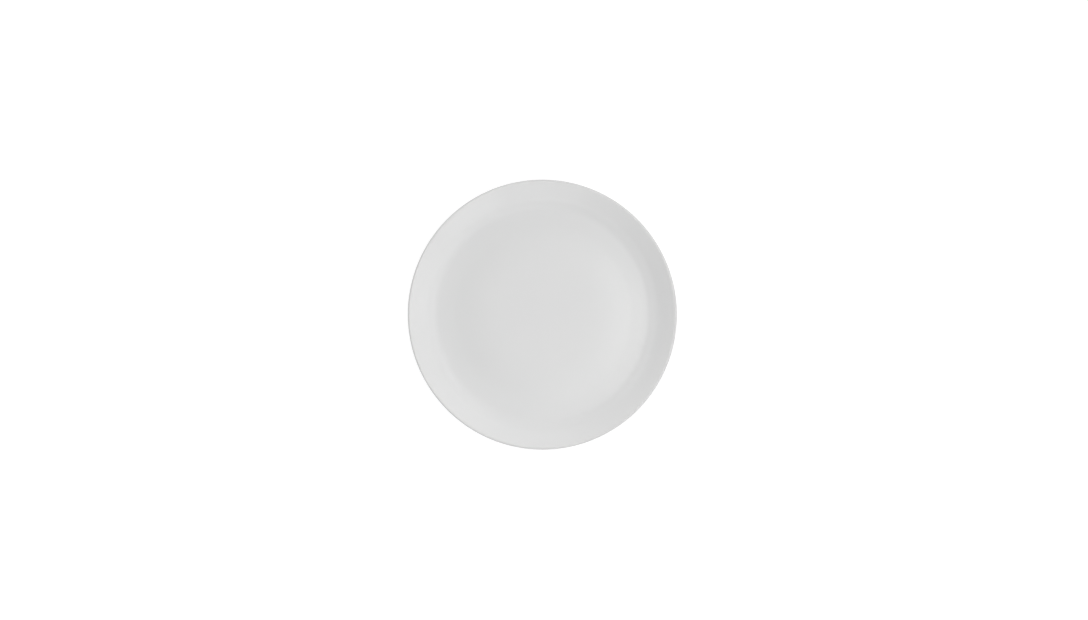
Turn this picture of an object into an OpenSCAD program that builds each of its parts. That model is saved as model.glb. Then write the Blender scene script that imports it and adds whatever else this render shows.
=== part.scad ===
// Round coupe bread plate of white porcelain. The porcelain body is pressed and fired in one piece.
// A clear glaze covers it in two separate coats, because the foot ring is wiped bare.
// The cross-section is a chain of arcs in the half-plane of radius and height, turned about Z.
// Units are millimetres, +Z is up, and the origin is the centre of the foot ring on the table.

/* [Plate] */
// Diameter across the glazed lip
plate_d = 160; // [140:1:220]
// Height of the glazed lip above the table
plate_h = 14.5; // [13:0.5:24]
// Thickness of the glaze
glaze_t = 0.2; // [0.15:0.05:0.5]

/* [Wall and lip] */
// Thickness of the porcelain at the round lip
lip_t = 1.4; // [0.8:0.1:2.6]
// Level distance from the lip's outer edge in to the lowest ring of the well
wall_run = 18; // [15:0.5:26]
// Radius of the hollow curve between the well and the wall
cove_r = 14.5; // [8:0.5:18]
// Thickness of the porcelain under the lowest ring of the well
heel_t = 3; // [2.4:0.1:4.5]

/* [Well] */
// Slope at which the well falls from its level middle, in degrees
fall_slope = 4.2; // [0.6:0.1:5]
// Level width of the ring that bends down from the level middle
crown_run = 18; // [8:1:22]
// Level width of the ring that falls straight
fall_run = 5; // [3:0.5:10]
// Level width of the faint crease over the foot ring, where the fall eases
crease_run = 3.5; // [2:0.5:6]
// Share of the slope that is left outside the crease
shelf_share = 0.3; // [0.2:0.05:0.8]
// Level width of the ring that falls at the eased slope
shelf_run = 3.5; // [2:0.5:6]
// Level width of the ring that bends back up to the lowest ring
sweep_run = 4; // [2:0.5:6]
// Thickness of the porcelain in the level middle
floor_t = 3.6; // [2.8:0.1:4.4]

/* [Foot ring] */
// Level distance from the lowest ring of the well in to the middle of the foot ring
foot_inset = 10; // [8:0.5:22]
// Width of the flat bearing face
foot_w = 2.6; // [1.6:0.1:5]
// Height of the foot ring under the heel
foot_h = 2.5; // [2:0.1:5]
// Slope of the foot ring's flanks above level, in degrees
foot_slope = 65; // [50:1:80]
// Radius of the bearing face's rounded edges
foot_edge_r = 0.6; // [0.3:0.1:0.8]
// Radius of the hollow curves at the foot ring's root
foot_root_r = 1.6; // [0.8:0.1:1.8]
// Height to which the foot ring is wiped bare of glaze
bare_h = 0.9; // [0.6:0.1:1]

/* [Hidden] */

// Largest gap between an arc and its chords
chord_gap = 0.004;
// Share of the largest possible cove that the wall still leaves room to meet the lip
cove_share = 0.92;
// Facets of the preview
$fn = 180;

glaze_color = [0.86, 0.865, 0.86];
bare_color = [0.8, 0.77, 0.72];

// Heights of the porcelain, without glaze
heel_z = foot_h;
trough_z = heel_z + heel_t;
shelf_slope = shelf_share * fall_slope;
well_fall = crown_run * tan(fall_slope / 2) + fall_run * tan(fall_slope)
    + crease_run * tan((fall_slope + shelf_slope) / 2)
    + shelf_run * tan(shelf_slope) + sweep_run * tan(shelf_slope / 2);
level_z = trough_z + well_fall;
recess_z = level_z - floor_t;

// Radii of the rings, from the lip inwards
lip_r = lip_t / 2;
lip_at = [plate_d / 2 - glaze_t - lip_r, plate_h - glaze_t - lip_r];
trough_at_r = plate_d / 2 - wall_run;
shelf_at_r = trough_at_r - sweep_run;
crease_at_r = shelf_at_r - shelf_run;
level_r = crease_at_r - crease_run - fall_run - crown_run;
foot_at_r = trough_at_r - foot_inset;

// The cove is concentric on the face and the underside, and both wall lines leave it on a tangent to the lip.
// The underside's tangent exists only while the cove stays under this limit.
lip_over_trough = lip_at - [trough_at_r, trough_z];
heel_excess = heel_t - lip_r;
cove_limit = (lip_over_trough * lip_over_trough - heel_excess * heel_excess)
    / (2 * (heel_excess + lip_over_trough[1]));
cove = min(cove_r, cove_share * cove_limit);
cove_at = [trough_at_r, trough_z + cove];
lip_from_cove = lip_at - cove_at;
lip_bearing = atan2(lip_from_cove[1], lip_from_cove[0]);
face_slope = lip_bearing + asin((cove + lip_r) / norm(lip_from_cove));
under_slope = lip_bearing + asin((cove + heel_t - lip_r) / norm(lip_from_cove));

// The well falls from its level middle: an arc down, a straight fall, a crease that eases the slope,
// a straight shelf and an arc back up to level
crown_r = crown_run / sin(fall_slope);
crease_r = crease_run / (sin(fall_slope) - sin(shelf_slope));
sweep_r = sweep_run / sin(shelf_slope);
crease_at_z = trough_z + sweep_run * tan(shelf_slope / 2) + shelf_run * tan(shelf_slope);
crease_at = [crease_at_r, crease_at_z] + crease_r * [sin(shelf_slope), cos(shelf_slope)];

// A direction in the half-plane, and the outward directions of a face and an underside that rise outwards
function toward(angle) = [cos(angle), sin(angle)];
function face_out(slope) = 90 + slope;
function under_out(slope) = slope - 90;

// An arc is its centre, its radius, and the outward directions at its start and end.
// The radius is negative where the outline is hollow, and the outline runs anticlockwise.
function arc(at, r, from, to) = [at, r, from, to];
function arc_steps(r, turn) = max(1, ceil(abs(turn) / (2 * acos(1 - chord_gap / abs(r)))));
function arc_points(a, grow) =
    let (steps = arc_steps(a[1], a[3] - a[2]))
    [for (i = [0:steps]) a[0] + (a[1] + grow) * toward(a[2] + (a[3] - a[2]) * i / steps)];

// The points along a list of arcs, with the surface moved outwards by grow
function line(arcs, grow = 0) = [for (a = arcs) each arc_points(a, grow)];
function backwards(points) = [for (i = [len(points) - 1:-1:0]) points[i]];
function on_axis(z) = [0, z];

// The foot ring's straight flank, for a root at a given height: its length, and how far out the root lies
function flank_length(root_z) =
    (root_z - (foot_root_r + foot_edge_r) * (1 - cos(foot_slope))) / sin(foot_slope);
function root_reach(root_z) =
    (foot_root_r + foot_edge_r) * sin(foot_slope) + flank_length(root_z) * cos(foot_slope);

// side is 1 on the outside of the foot ring and -1 on the inside
function bearing_edge(side) = [foot_at_r + side * foot_w / 2, foot_edge_r];
function root_centre(side, root_z) =
    [bearing_edge(side)[0] + side * root_reach(root_z), root_z - foot_root_r];
function flank_out(side) = under_out(side * foot_slope);
// Where the glaze stops on the flank
function glaze_stop(side, grow) =
    let (
        edge_top = bearing_edge(side) + foot_edge_r * toward(flank_out(side)),
        along = (bare_h - edge_top[1]) / sin(foot_slope)
    )
    edge_top + along * [side * cos(foot_slope), sin(foot_slope)] + grow * toward(flank_out(side));

// The outline in three stretches: under the well, round the foot ring, then over the lip and back to the axis
recess_arcs = [
    arc(root_centre(-1, recess_z), -foot_root_r, under_out(0), flank_out(-1))
];
bearing_arcs = [
    arc(bearing_edge(-1), foot_edge_r, flank_out(-1), under_out(0)),
    arc(bearing_edge(1), foot_edge_r, under_out(0), flank_out(1))
];
outer_arcs = [
    arc(root_centre(1, heel_z), -foot_root_r, flank_out(1), under_out(0)),
    arc(cove_at, cove + heel_t, under_out(0), under_out(under_slope)),
    arc(lip_at, lip_r, under_out(under_slope), face_out(face_slope)),
    arc(cove_at, -cove, face_out(face_slope), face_out(0)),
    arc([trough_at_r, trough_z + sweep_r], -sweep_r, face_out(0), face_out(-shelf_slope)),
    arc(crease_at, -crease_r, face_out(-shelf_slope), face_out(-fall_slope)),
    arc([level_r, level_z - crown_r], crown_r, face_out(-fall_slope), face_out(0))
];

// The fired porcelain: well, wall, lip and foot ring in one piece
module porcelain_body() {
    color(bare_color)
    rotate_extrude()
    polygon(concat(
        [on_axis(recess_z)],
        line(recess_arcs),
        line(bearing_arcs),
        line(outer_arcs),
        [on_axis(level_z)]
    ));
}

// The glaze from the outside of the foot ring, under the wall, over the lip and across the well
module glaze_coat() {
    color(glaze_color)
    rotate_extrude()
    polygon(concat(
        [glaze_stop(1, glaze_t)],
        line(outer_arcs, glaze_t),
        [on_axis(level_z + glaze_t), on_axis(level_z)],
        backwards(line(outer_arcs)),
        [glaze_stop(1, 0)]
    ));
}

// The glaze in the recess inside the foot ring
module recess_glaze() {
    color(glaze_color)
    rotate_extrude()
    polygon(concat(
        [on_axis(recess_z - glaze_t)],
        line(recess_arcs, glaze_t),
        [glaze_stop(-1, glaze_t), glaze_stop(-1, 0)],
        backwards(line(recess_arcs)),
        [on_axis(recess_z)]
    ));
}

porcelain_body();
glaze_coat();
recess_glaze();
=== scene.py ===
"""Bread plate of white glazed porcelain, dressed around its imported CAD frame.

Its three pieces are the porcelain, its outer glaze and the glaze in the foot recess.
They are lathed from one section, which is drawn in millimetres as radius and height.
The finished pieces are in metres and stand at the origin.
"""
import math

import bpy
from mathutils import Matrix, Vector


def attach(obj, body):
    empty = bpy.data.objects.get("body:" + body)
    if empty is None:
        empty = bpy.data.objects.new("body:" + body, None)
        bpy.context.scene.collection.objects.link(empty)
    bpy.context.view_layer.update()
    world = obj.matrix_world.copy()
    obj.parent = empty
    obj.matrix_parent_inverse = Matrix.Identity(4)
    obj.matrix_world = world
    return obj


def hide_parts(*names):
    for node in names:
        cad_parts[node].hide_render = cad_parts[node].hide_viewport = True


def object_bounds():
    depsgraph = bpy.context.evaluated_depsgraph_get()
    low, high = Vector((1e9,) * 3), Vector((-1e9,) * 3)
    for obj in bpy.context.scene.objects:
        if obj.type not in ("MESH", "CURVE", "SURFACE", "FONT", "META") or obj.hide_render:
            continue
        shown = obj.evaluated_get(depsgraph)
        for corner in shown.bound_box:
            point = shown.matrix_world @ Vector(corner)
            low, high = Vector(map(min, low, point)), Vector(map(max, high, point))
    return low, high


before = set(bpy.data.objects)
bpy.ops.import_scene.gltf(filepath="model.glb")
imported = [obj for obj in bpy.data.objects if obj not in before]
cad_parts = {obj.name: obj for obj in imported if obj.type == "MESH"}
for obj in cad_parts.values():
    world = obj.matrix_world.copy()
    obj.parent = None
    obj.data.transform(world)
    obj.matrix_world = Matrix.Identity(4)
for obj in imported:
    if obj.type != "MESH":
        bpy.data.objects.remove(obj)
cad_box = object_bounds()

MM = 0.001

# The plate's sizes, as in its CAD source, in millimetres and degrees.
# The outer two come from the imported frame.
PLATE_D = 2 * cad_box[1][0] / MM
PLATE_H = cad_box[1][2] / MM
GLAZE_T = 0.2
LIP_T = 1.4
WALL_RUN = 18.0
COVE_R = 14.5
HEEL_T = 3.0
FALL_SLOPE = 4.2
CROWN_RUN = 18.0
FALL_RUN = 5.0
CREASE_RUN = 3.5
SHELF_SLOPE = 1.26
SHELF_RUN = 3.5
SWEEP_RUN = 4.0
FLOOR_T = 3.6
FOOT_INSET = 10.0
FOOT_W = 2.6
FOOT_H = 2.5
FOOT_SLOPE = 65.0
FOOT_EDGE_R = 0.6
FOOT_ROOT_R = 1.6
BARE_H = 0.9

# How finely the section is drawn and turned: longest facet and widest turn on an arc,
# longest facet on a straight, and steps all round
FACET_RUN = 0.8
FACET_TURN = 7.0
STRAIGHT_RUN = 2.4
LATHE_STEPS = 256

# The round end of the glaze on the foot: its length along the flank, and its steps
BEAD_RUN = 0.35
BEAD_STEPS = 6

# Points of the section, and of the turned piece, that are this close are one point
SAME_POINT = 0.002
WELD_GAP = 0.001

# Width of the small plane that the lathe merges into its first point
SEED_W = 2.0

# Edges that turn by more than this stay crisp
CRISP_TURN = 40.0


def sine(degrees):
    return math.sin(math.radians(degrees))


def cosine(degrees):
    return math.cos(math.radians(degrees))


def tangent(degrees):
    return math.tan(math.radians(degrees))


def toward(degrees):
    """A direction in the section, counted from straight outwards."""
    return Vector((cosine(degrees), sine(degrees)))


def face_out(slope):
    """The outward direction of a face that rises outwards at this slope."""
    return 90 + slope


def under_out(slope):
    """The outward direction of an underside that rises outwards at this slope."""
    return slope - 90


# Heights and radii of the porcelain's rings
HEEL_Z = FOOT_H
TROUGH_Z = HEEL_Z + HEEL_T
WELL_FALL = (
    CROWN_RUN * tangent(FALL_SLOPE / 2)
    + FALL_RUN * tangent(FALL_SLOPE)
    + CREASE_RUN * tangent((FALL_SLOPE + SHELF_SLOPE) / 2)
    + SHELF_RUN * tangent(SHELF_SLOPE)
    + SWEEP_RUN * tangent(SHELF_SLOPE / 2)
)
LEVEL_Z = TROUGH_Z + WELL_FALL
RECESS_Z = LEVEL_Z - FLOOR_T
LIP_R = LIP_T / 2
LIP_AT = Vector((PLATE_D / 2 - GLAZE_T - LIP_R, PLATE_H - GLAZE_T - LIP_R))
TROUGH_AT = Vector((PLATE_D / 2 - WALL_RUN, TROUGH_Z))
CREASE_AT_R = TROUGH_AT.x - SWEEP_RUN - SHELF_RUN
LEVEL_R = CREASE_AT_R - CREASE_RUN - FALL_RUN - CROWN_RUN
FOOT_AT_R = TROUGH_AT.x - FOOT_INSET

# The wall's two straight lines run from the cove to the lip on a tangent to both
COVE_AT = TROUGH_AT + Vector((0, COVE_R))
LIP_FROM_COVE = LIP_AT - COVE_AT
LIP_BEARING = math.degrees(math.atan2(LIP_FROM_COVE.y, LIP_FROM_COVE.x))
FACE_SLOPE = LIP_BEARING + math.degrees(math.asin((COVE_R + LIP_R) / LIP_FROM_COVE.length))
UNDER_SLOPE = LIP_BEARING + math.degrees(
    math.asin((COVE_R + HEEL_T - LIP_R) / LIP_FROM_COVE.length)
)

# The well's slow curves
CROWN_R = CROWN_RUN / sine(FALL_SLOPE)
CREASE_R = CREASE_RUN / (sine(FALL_SLOPE) - sine(SHELF_SLOPE))
SWEEP_R = SWEEP_RUN / sine(SHELF_SLOPE)
CREASE_AT_Z = TROUGH_Z + SWEEP_RUN * tangent(SHELF_SLOPE / 2) + SHELF_RUN * tangent(SHELF_SLOPE)
CREASE_CENTRE = (
    Vector((CREASE_AT_R, CREASE_AT_Z))
    + CREASE_R * Vector((sine(SHELF_SLOPE), cosine(SHELF_SLOPE)))
)


def bearing_edge(side):
    """Centre of the foot's rounded edge, outside (side 1) or inside (side -1)."""
    return Vector((FOOT_AT_R + side * FOOT_W / 2, FOOT_EDGE_R))


def flank_out(side):
    """The outward direction of the foot's straight flank."""
    return under_out(side * FOOT_SLOPE)


def root_centre(side, root_z):
    """Centre of the hollow curve at the foot's root, under a surface at this height."""
    turned = FOOT_ROOT_R + FOOT_EDGE_R
    flank = (root_z - turned * (1 - cosine(FOOT_SLOPE))) / sine(FOOT_SLOPE)
    reach = turned * sine(FOOT_SLOPE) + flank * cosine(FOOT_SLOPE)
    return Vector((bearing_edge(side).x + side * reach, root_z - FOOT_ROOT_R))


def glaze_stop(side):
    """Where the glaze ends on the foot's flank, and the direction up the flank."""
    edge_top = bearing_edge(side) + FOOT_EDGE_R * toward(flank_out(side))
    up_flank = Vector((side * cosine(FOOT_SLOPE), sine(FOOT_SLOPE)))
    return edge_top + up_flank * ((BARE_H - edge_top.y) / sine(FOOT_SLOPE)), up_flank


# Each arc of the section is its centre, its radius (negative where it is hollow)
# and its outward directions at its start and end
RECESS_ARCS = [(root_centre(-1, RECESS_Z), -FOOT_ROOT_R, under_out(0), flank_out(-1))]
BEARING_ARCS = [
    (bearing_edge(-1), FOOT_EDGE_R, flank_out(-1), under_out(0)),
    (bearing_edge(1), FOOT_EDGE_R, under_out(0), flank_out(1)),
]
OUTER_ARCS = [
    (root_centre(1, HEEL_Z), -FOOT_ROOT_R, flank_out(1), under_out(0)),
    (COVE_AT, COVE_R + HEEL_T, under_out(0), under_out(UNDER_SLOPE)),
    (LIP_AT, LIP_R, under_out(UNDER_SLOPE), face_out(FACE_SLOPE)),
    (COVE_AT, -COVE_R, face_out(FACE_SLOPE), face_out(0)),
    (TROUGH_AT + Vector((0, SWEEP_R)), -SWEEP_R, face_out(0), face_out(-SHELF_SLOPE)),
    (CREASE_CENTRE, -CREASE_R, face_out(-SHELF_SLOPE), face_out(-FALL_SLOPE)),
    (Vector((LEVEL_R, LEVEL_Z - CROWN_R)), CROWN_R, face_out(-FALL_SLOPE), face_out(0)),
]


def line_of(arcs, grow):
    """Points along a chain of arcs, with the surface moved outwards by grow."""
    points = []
    for centre, radius, start, end in arcs:
        turn = end - start
        swept = abs(math.radians(turn) * radius)
        count = max(math.ceil(swept / FACET_RUN), math.ceil(abs(turn) / FACET_TURN), 1)
        for i in range(count + 1):
            points.append(centre + (radius + grow) * toward(start + turn * i / count))
    return points


def glaze_bead(side):
    """The round end of the glaze, from the bare flank out to the glaze's full thickness."""
    stop, up_flank = glaze_stop(side)
    out = toward(flank_out(side))
    points = []
    for i in range(BEAD_STEPS + 1):
        turn = 90 * i / BEAD_STEPS
        points.append(stop + up_flank * BEAD_RUN * (1 - cosine(turn)) + out * GLAZE_T * sine(turn))
    return points


def on_axis(z):
    return Vector((0, z))


def with_straights(points):
    """The same outline, without doubled points and with its long straights cut evenly."""
    drawn = [points[0]]
    for point in points[1:]:
        gap = point - drawn[-1]
        if gap.length < SAME_POINT:
            continue
        count = math.ceil(gap.length / STRAIGHT_RUN)
        start = drawn[-1].copy()
        for i in range(1, count + 1):
            drawn.append(start + gap * i / count)
    return drawn


def lathe(name, outline):
    """Turns an outline that starts and ends on the axis into one closed piece."""
    places = [Vector((p.x, 0, p.y)) * MM for p in with_straights(outline)]
    bpy.ops.object.select_all(action="DESELECT")
    bpy.ops.mesh.primitive_plane_add(size=SEED_W * MM, location=places[0])
    piece = bpy.context.object
    piece.name = name
    piece.data.name = name
    bpy.ops.object.mode_set(mode="EDIT")
    bpy.ops.mesh.select_all(action="SELECT")
    bpy.ops.mesh.merge(type="CENTER")
    for here, there in zip(places, places[1:]):
        bpy.ops.mesh.extrude_vertices_move(TRANSFORM_OT_translate={"value": there - here})
    bpy.ops.mesh.select_all(action="SELECT")
    bpy.ops.mesh.spin(steps=LATHE_STEPS, angle=math.tau, center=(0, 0, 0), axis=(0, 0, 1))
    bpy.ops.mesh.select_all(action="SELECT")
    bpy.ops.mesh.remove_doubles(threshold=WELD_GAP * MM)
    bpy.ops.mesh.normals_make_consistent(inside=False)
    bpy.ops.object.mode_set(mode="OBJECT")
    bpy.ops.object.transform_apply(location=True, rotation=True, scale=True)
    bpy.ops.object.shade_smooth_by_angle(angle=math.radians(CRISP_TURN))
    return piece


porcelain = lathe(
    "porcelain",
    [
        on_axis(RECESS_Z), *line_of(RECESS_ARCS, 0), *line_of(BEARING_ARCS, 0),
        *line_of(OUTER_ARCS, 0), on_axis(LEVEL_Z),
    ],
)
outer_glaze = lathe(
    "outer_glaze",
    [
        on_axis(LEVEL_Z), *reversed(line_of(OUTER_ARCS, 0)),
        *glaze_bead(1), *line_of(OUTER_ARCS, GLAZE_T), on_axis(LEVEL_Z + GLAZE_T),
    ],
)
foot_recess_glaze = lathe(
    "foot_recess_glaze",
    [
        on_axis(RECESS_Z), *line_of(RECESS_ARCS, 0),
        *glaze_bead(-1), *reversed(line_of(RECESS_ARCS, GLAZE_T)), on_axis(RECESS_Z - GLAZE_T),
    ],
)

for piece, node, slot in (
    (porcelain, "porcelain_body", "bare_porcelain"),
    (outer_glaze, "glaze_coat", "white_glaze"),
    (foot_recess_glaze, "recess_glaze", "white_glaze"),
):
    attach(piece, "root")
    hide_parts(node)


class Finish:
    """A material under construction: its nodes, and short calls to add and join them."""

    def __init__(self, name):
        self.material = bpy.data.materials.new(name)
        self.material.use_nodes = True
        self.tree = self.material.node_tree
        self.tree.nodes.clear()
        self.output = self.add("OutputMaterial")

    def add(self, kind, settings=None, **inputs):
        """A new node with its own settings, and with its inputs set, or linked to a socket."""
        node = self.tree.nodes.new("ShaderNode" + kind)
        for key, value in (settings or {}).items():
            setattr(node, key, value)
        for key, value in inputs.items():
            self.put(node, key.replace("_", " "), value)
        return node

    def put(self, node, key, value):
        """Sets one input of a node, or links it where the value is another node's output."""
        socket = node.inputs[key]
        if isinstance(value, bpy.types.NodeSocket):
            self.tree.links.new(value, socket)
        else:
            socket.default_value = value

    def ramp(self, factor, stops):
        """A colour ramp from (place, grey or colour) stops."""
        node = self.add("ValToRGB", Fac=factor)
        ramp = node.color_ramp
        while len(ramp.elements) < len(stops):
            ramp.elements.new(1.0)
        for element, (place, tone) in zip(ramp.elements, stops):
            element.position = place
            element.color = (tone, tone, tone, 1) if isinstance(tone, float) else (*tone, 1)
        return node.outputs["Color"]

    def noise(self, vector, scale, detail, roughness):
        node = self.add("TexNoise", Vector=vector, Scale=scale, Detail=detail, Roughness=roughness)
        return node.outputs["Fac"]

    def math(self, operation, a, b):
        node = self.add("Math", {"operation": operation})
        self.put(node, 0, a)
        self.put(node, 1, b)
        return node.outputs[0]

    def vector(self, operation, a, b=None):
        node = self.add("VectorMath", {"operation": operation})
        self.put(node, 0, a)
        if b is not None:
            self.put(node, 1, b)
        return node.outputs["Value" if operation == "LENGTH" else "Vector"]

    def blend(self, factor, a, b, blend_type="MIX"):
        node = self.add("Mix", {"data_type": "RGBA", "blend_type": blend_type})
        self.put(node, 0, factor)
        self.put(node, 6, a)
        self.put(node, 7, b)
        return node.outputs[2]


CERAMIC_IOR = 1.5
# Drops the height of a place, so that its length is its distance from the plate's axis
LEVEL_ONLY = (1, 1, 0)

# Tone of the glaze by ring with painted light and shade, lighter round the trough and with a
# painted dark edge over the lip, as (share of the plate's radius, colour)
GLAZE_TONES_AND_PAINTED_SHADING = (
    (0.0, (0.755, 0.754, 0.755)),
    (0.30, (0.755, 0.755, 0.755)),
    (0.60, (0.758, 0.760, 0.759)),
    (0.70, (0.761, 0.763, 0.762)),
    (0.76, (0.765, 0.766, 0.766)),
    (0.80, (0.764, 0.765, 0.765)),
    (0.85, (0.760, 0.761, 0.761)),
    (0.93, (0.761, 0.762, 0.762)),
    (0.984, (0.762, 0.761, 0.759)),
    (0.992, (0.70, 0.70, 0.698)),
)
CLOUD_TONES = ((0.3, (0.986, 0.988, 0.988)), (0.7, (1.0, 1.0, 0.998)))
GLAZE_ROUGHNESS = ((0.3, 0.215), (0.7, 0.245))

# Tones of the bare foot, the share of scuffs where it slides, and how they fade up its edge
BARE_TONES = ((0.25, (0.69, 0.655, 0.60)), (0.75, (0.77, 0.735, 0.68)))
PATCH_TONES = ((0.3, 0.95), (0.7, 1.0))
BARE_ROUGHNESS = ((0.3, 0.72), (0.7, 0.86))
SCUFF_TONE = (0.42, 0.41, 0.40, 1)
SCUFF_SHARE = ((0.5, 0.0), (0.72, 0.55))
SCUFF_FADE = ((0.0, 1.0), (0.35, 0.0))

# Noise in the finishes: scale per metre, detail and roughness
CLOUD_NOISE = (28.0, 3.0, 0.55)
SHEEN_NOISE = (70.0, 2.0, 0.5)
PEEL_NOISE = (330.0, 1.5, 0.4)
GRAIN_NOISE = (2600.0, 3.0, 0.6)
PATCH_NOISE = (160.0, 2.0, 0.5)
# The scuffs' noise is drawn out round the foot, by one scale round its circle
# and one per metre across
STREAK_NOISE = (1.0, 3.0, 0.6)
STREAK_ROUND = (26.0, 26.0, 26.0)
STREAK_ACROSS = 2600.0

# Depth of the glaze's faint orange peel and of the bare grain, in metres
PEEL_DEPTH = 0.000008
GRAIN_DEPTH = 0.00002


def white_glaze():
    """Clear glaze over white porcelain: glossy, with a faint orange peel and faint clouds.

    It is painted a little lighter round the trough and darker towards the middle, with a painted
    dark edge over the lip: painted light and shade by ring.
    """
    finish = Finish("white_glaze")
    place = finish.add("TexCoord").outputs["Object"]
    radius = finish.vector("LENGTH", finish.vector("MULTIPLY", place, LEVEL_ONLY))
    share = finish.math("DIVIDE", radius, PLATE_D / 2 * MM)
    # Painted light and shade by ring: lighter round the trough, darker in the middle, and a
    # painted dark edge over the lip
    by_ring_painted_shading = finish.ramp(share, GLAZE_TONES_AND_PAINTED_SHADING)
    clouded = finish.ramp(finish.noise(place, *CLOUD_NOISE), CLOUD_TONES)
    tone = finish.blend(1.0, by_ring_painted_shading, clouded, "MULTIPLY")
    sheen = finish.ramp(finish.noise(place, *SHEEN_NOISE), GLAZE_ROUGHNESS)
    peel = finish.noise(place, *PEEL_NOISE)
    bump = finish.add("Bump", Strength=1.0, Distance=PEEL_DEPTH, Height=peel)
    shader = finish.add(
        "BsdfPrincipled", Base_Color=tone, Roughness=sheen, IOR=CERAMIC_IOR,
        Normal=bump.outputs["Normal"],
    )
    finish.put(finish.output, "Surface", shader.outputs[0])
    return finish.material


def bare_porcelain():
    """Unglazed porcelain of the wiped foot: matte, faintly warm and finely grained.

    It is scuffed grey in streaks round the foot, where the plate slides on a table.
    """
    finish = Finish("bare_porcelain")
    place = finish.add("TexCoord").outputs["Object"]
    level = finish.vector("MULTIPLY", place, LEVEL_ONLY)
    radius = finish.vector("LENGTH", level)
    height = finish.add("SeparateXYZ", Vector=place).outputs["Z"]
    grain = finish.noise(place, *GRAIN_NOISE)
    patch = finish.noise(place, *PATCH_NOISE)
    body = finish.ramp(grain, BARE_TONES)
    toned = finish.blend(1.0, body, finish.ramp(patch, PATCH_TONES), "MULTIPLY")
    round_foot = finish.vector("MULTIPLY", finish.vector("NORMALIZE", level), STREAK_ROUND)
    across = finish.add("CombineXYZ", Z=finish.math("MULTIPLY", radius, STREAK_ACROSS)).outputs[0]
    streak = finish.noise(finish.vector("ADD", round_foot, across), *STREAK_NOISE)
    on_table = finish.ramp(finish.math("DIVIDE", height, FOOT_EDGE_R * MM), SCUFF_FADE)
    scuff = finish.math("MULTIPLY", finish.ramp(streak, SCUFF_SHARE), on_table)
    colour = finish.blend(scuff, toned, SCUFF_TONE)
    bump = finish.add("Bump", Strength=1.0, Distance=GRAIN_DEPTH, Height=grain)
    shader = finish.add(
        "BsdfPrincipled", Base_Color=colour, IOR=CERAMIC_IOR,
        Roughness=finish.ramp(patch, BARE_ROUGHNESS), Normal=bump.outputs["Normal"],
    )
    finish.put(finish.output, "Surface", shader.outputs[0])
    return finish.material


glaze = white_glaze()
porcelain.data.materials.append(bare_porcelain())
outer_glaze.data.materials.append(glaze)
foot_recess_glaze.data.materials.append(glaze)

# The table lies a hair under the foot, so that their faces don't share a plane
TABLE_W = 8.0
TABLE_DROP = 0.02
TABLE_TONE = 0.36
TABLE_GLOW = 0.8


def is_seen(finish):
    """1 for rays that show the background: the camera's, and those in gloss or through glass."""
    path = finish.add("LightPath").outputs
    seen = finish.math("MAXIMUM", path["Is Camera Ray"], path["Is Glossy Ray"])
    return finish.math("MAXIMUM", seen, path["Is Transmission Ray"])


def white_table():
    """A white table top that reads as white and keeps the plate's soft shadow."""
    finish = Finish("white_table")
    matte = finish.add("BsdfDiffuse", Color=(TABLE_TONE, TABLE_TONE, TABLE_TONE, 1))
    strength = finish.math("MULTIPLY", is_seen(finish), TABLE_GLOW)
    glow = finish.add("Emission", Color=(1, 1, 1, 1), Strength=strength)
    both = finish.add("AddShader")
    finish.put(both, 0, matte.outputs[0])
    finish.put(both, 1, glow.outputs[0])
    finish.put(finish.output, "Surface", both.outputs[0])
    return finish.material


bpy.ops.object.select_all(action="DESELECT")
bpy.ops.mesh.primitive_plane_add(size=TABLE_W, location=(0, 0, -TABLE_DROP * MM))
table_top = bpy.context.object
table_top.name = "table_top"
table_top.data.materials.append(white_table())

# Soft studio light: an even white room, two soft lamps overhead and larger ones round the plate.
# Some lamps only brighten the plate, and the glaze doesn't mirror them.
# The room's level is what lights the plate, and where it is seen it is white.
ROOM_LEVEL = 0.562
ROOM_SEEN = 1.0
OVERHEAD_LAMPS = (
    # name, place, width, depth, radiance
    ("overhead_right", (0.0835, 0.0, 0.35), 0.0376, 0.30, 2.0),
    ("overhead_front", (-0.028, -0.342, 1.6), 0.224, 0.234, 1.077),
)
SIDE_LAMPS = (
    # name, height above the table and bearing in degrees, distance, width, radiance, mirrored
    ("key", 40, 340, 2.0, 1.4, 1.338, False),
    ("back_right", 25, 60, 2.0, 1.4, 0.734, False),
    ("right", 32, 345, 2.0, 1.4, 0.280, True),
    ("right_front", 26, 300, 2.0, 1.0, 0.842, True),
    ("front", 32, 260, 1.4, 0.7, 0.664, True),
    ("left", 44, 165, 2.0, 1.4, 0.590, False),
)
# A low white panel behind the plate: place, width, depth, radiance
BACK_PANEL = ((0, 1.6, 0.3), 1.6, 0.5, 2.123)
# A dark card over the left side, which only the glaze mirrors: place, width, depth, radiance
LEFT_CARD = ((-0.395, -0.278, 1.2), 0.279, 1.459, 0.1)

room = bpy.data.worlds.new("white_room")
bpy.context.scene.world = room
room.use_nodes = True
background = room.node_tree.nodes["Background"]
path = room.node_tree.nodes.new("ShaderNodeLightPath")
seen = room.node_tree.nodes.new("ShaderNodeMath")
seen.operation = "MAXIMUM"
also_seen = room.node_tree.nodes.new("ShaderNodeMath")
also_seen.operation = "MAXIMUM"
level = room.node_tree.nodes.new("ShaderNodeMapRange")
level.inputs["To Min"].default_value = ROOM_LEVEL
level.inputs["To Max"].default_value = ROOM_SEEN
link = room.node_tree.links.new
link(path.outputs["Is Camera Ray"], seen.inputs[0])
link(path.outputs["Is Glossy Ray"], seen.inputs[1])
link(seen.outputs[0], also_seen.inputs[0])
link(path.outputs["Is Transmission Ray"], also_seen.inputs[1])
link(also_seen.outputs[0], level.inputs["Value"])
link(level.outputs[0], background.inputs["Strength"])
background.inputs["Color"].default_value = (1, 1, 1, 1)


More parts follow.
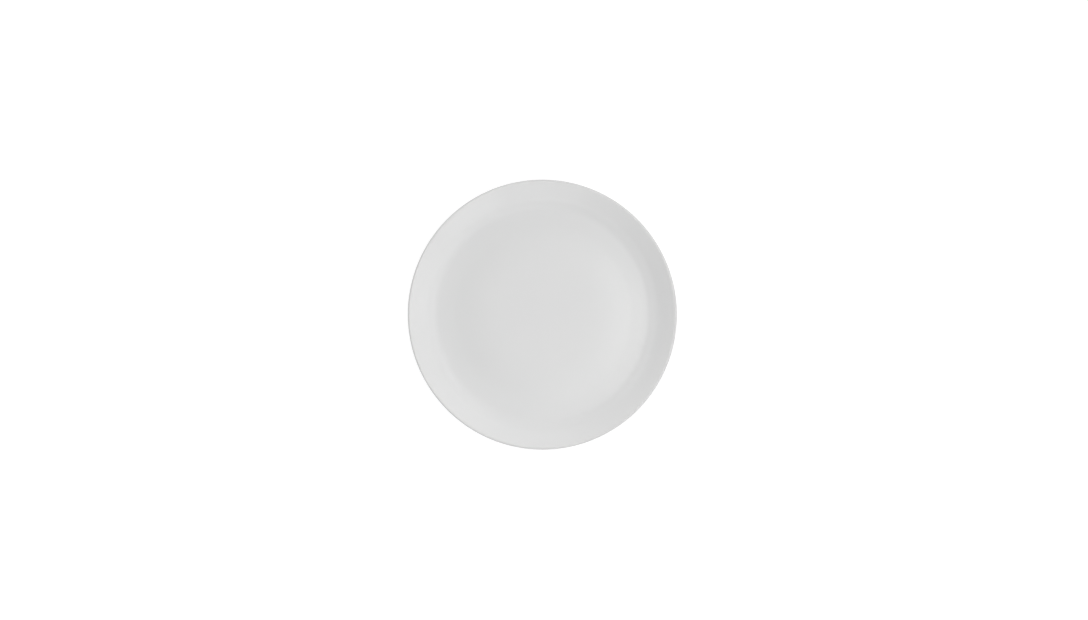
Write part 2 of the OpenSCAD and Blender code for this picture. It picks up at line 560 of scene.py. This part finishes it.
def soft_lamp(name, place, facing, width, depth, radiance, mirrored=True):
    """A rectangular lamp of even brightness, which shines against the given direction."""
    lamp = bpy.data.lights.new(name, "AREA")
    lamp.shape = "RECTANGLE"
    lamp.size, lamp.size_y = width, depth
    lamp.energy = math.pi * width * depth * radiance
    stand = bpy.data.objects.new(name, lamp)
    bpy.context.scene.collection.objects.link(stand)
    stand.location = place
    stand.rotation_euler = facing.to_track_quat("Z", "Y").to_euler()
    stand.visible_camera = False
    stand.visible_glossy = mirrored


for name, place, width, depth, radiance in OVERHEAD_LAMPS:
    soft_lamp(name, Vector(place), Vector((0, 0, 1)), width, depth, radiance)
for name, height, bearing, distance, width, radiance, mirrored in SIDE_LAMPS:
    from_plate = Vector((
        cosine(height) * cosine(bearing), cosine(height) * sine(bearing), sine(height),
    ))
    soft_lamp(name, from_plate * distance, from_plate, width, width, radiance, mirrored)
soft_lamp("back_panel", Vector(BACK_PANEL[0]), Vector((0, 1, 0)), *BACK_PANEL[1:], mirrored=False)


def hang_card(place, width, depth, radiance):
    """A level card that shows only as a darker patch in the glaze's reflection."""
    finish = Finish("dark_card")
    glow = finish.add("Emission", Color=(radiance, radiance, radiance, 1))
    finish.put(finish.output, "Surface", glow.outputs[0])
    bpy.ops.object.select_all(action="DESELECT")
    bpy.ops.mesh.primitive_plane_add(size=1.0, location=place)
    card = bpy.context.object
    card.name = "left_card"
    card.scale = (width, depth, 1)
    bpy.ops.object.transform_apply(location=True, rotation=True, scale=True)
    card.data.materials.append(finish.material)
    card.visible_camera = card.visible_diffuse = False
    card.visible_transmission = card.visible_shadow = False


hang_card(*LEFT_CARD)

# The camera looks almost straight down with a long lens, leaning a little to the right.
# In pixels: the picture's width, the plate's width in it, and how far right and up of the plate's
# middle the picture's middle lies
PICTURE_W = 1088
PLATE_SPAN = 2 * 135.05
OFF_CENTRE = (2.25, 4.71)
PIXEL = PLATE_D / PLATE_SPAN * MM
# The lean and its bearing in degrees, and the lens and its sensor in millimetres
CAMERA_LEAN = 5.0
LEAN_BEARING = 8.0
LENS = 85.0
SENSOR_W = 36.0

back = Vector((
    sine(CAMERA_LEAN) * cosine(LEAN_BEARING),
    sine(CAMERA_LEAN) * sine(LEAN_BEARING),
    cosine(CAMERA_LEAN),
))
right = Vector((0, 1, 0)).cross(back).normalized()
up = back.cross(right)
camera = bpy.data.cameras.new("camera")
camera.lens = LENS
camera.sensor_width = SENSOR_W
tripod = bpy.data.objects.new("camera", camera)
bpy.context.scene.collection.objects.link(tripod)
aim = Vector((0, 0, LIP_AT.y * MM)) + (right * OFF_CENTRE[0] + up * OFF_CENTRE[1]) * PIXEL
stand_off = PIXEL * PICTURE_W * LENS / SENSOR_W
turned = Matrix((right, up, back)).transposed().to_4x4()
tripod.matrix_world = Matrix.Translation(aim + back * stand_off) @ turned
bpy.context.scene.camera = tripod
bpy.context.scene.view_settings.view_transform = "Standard"
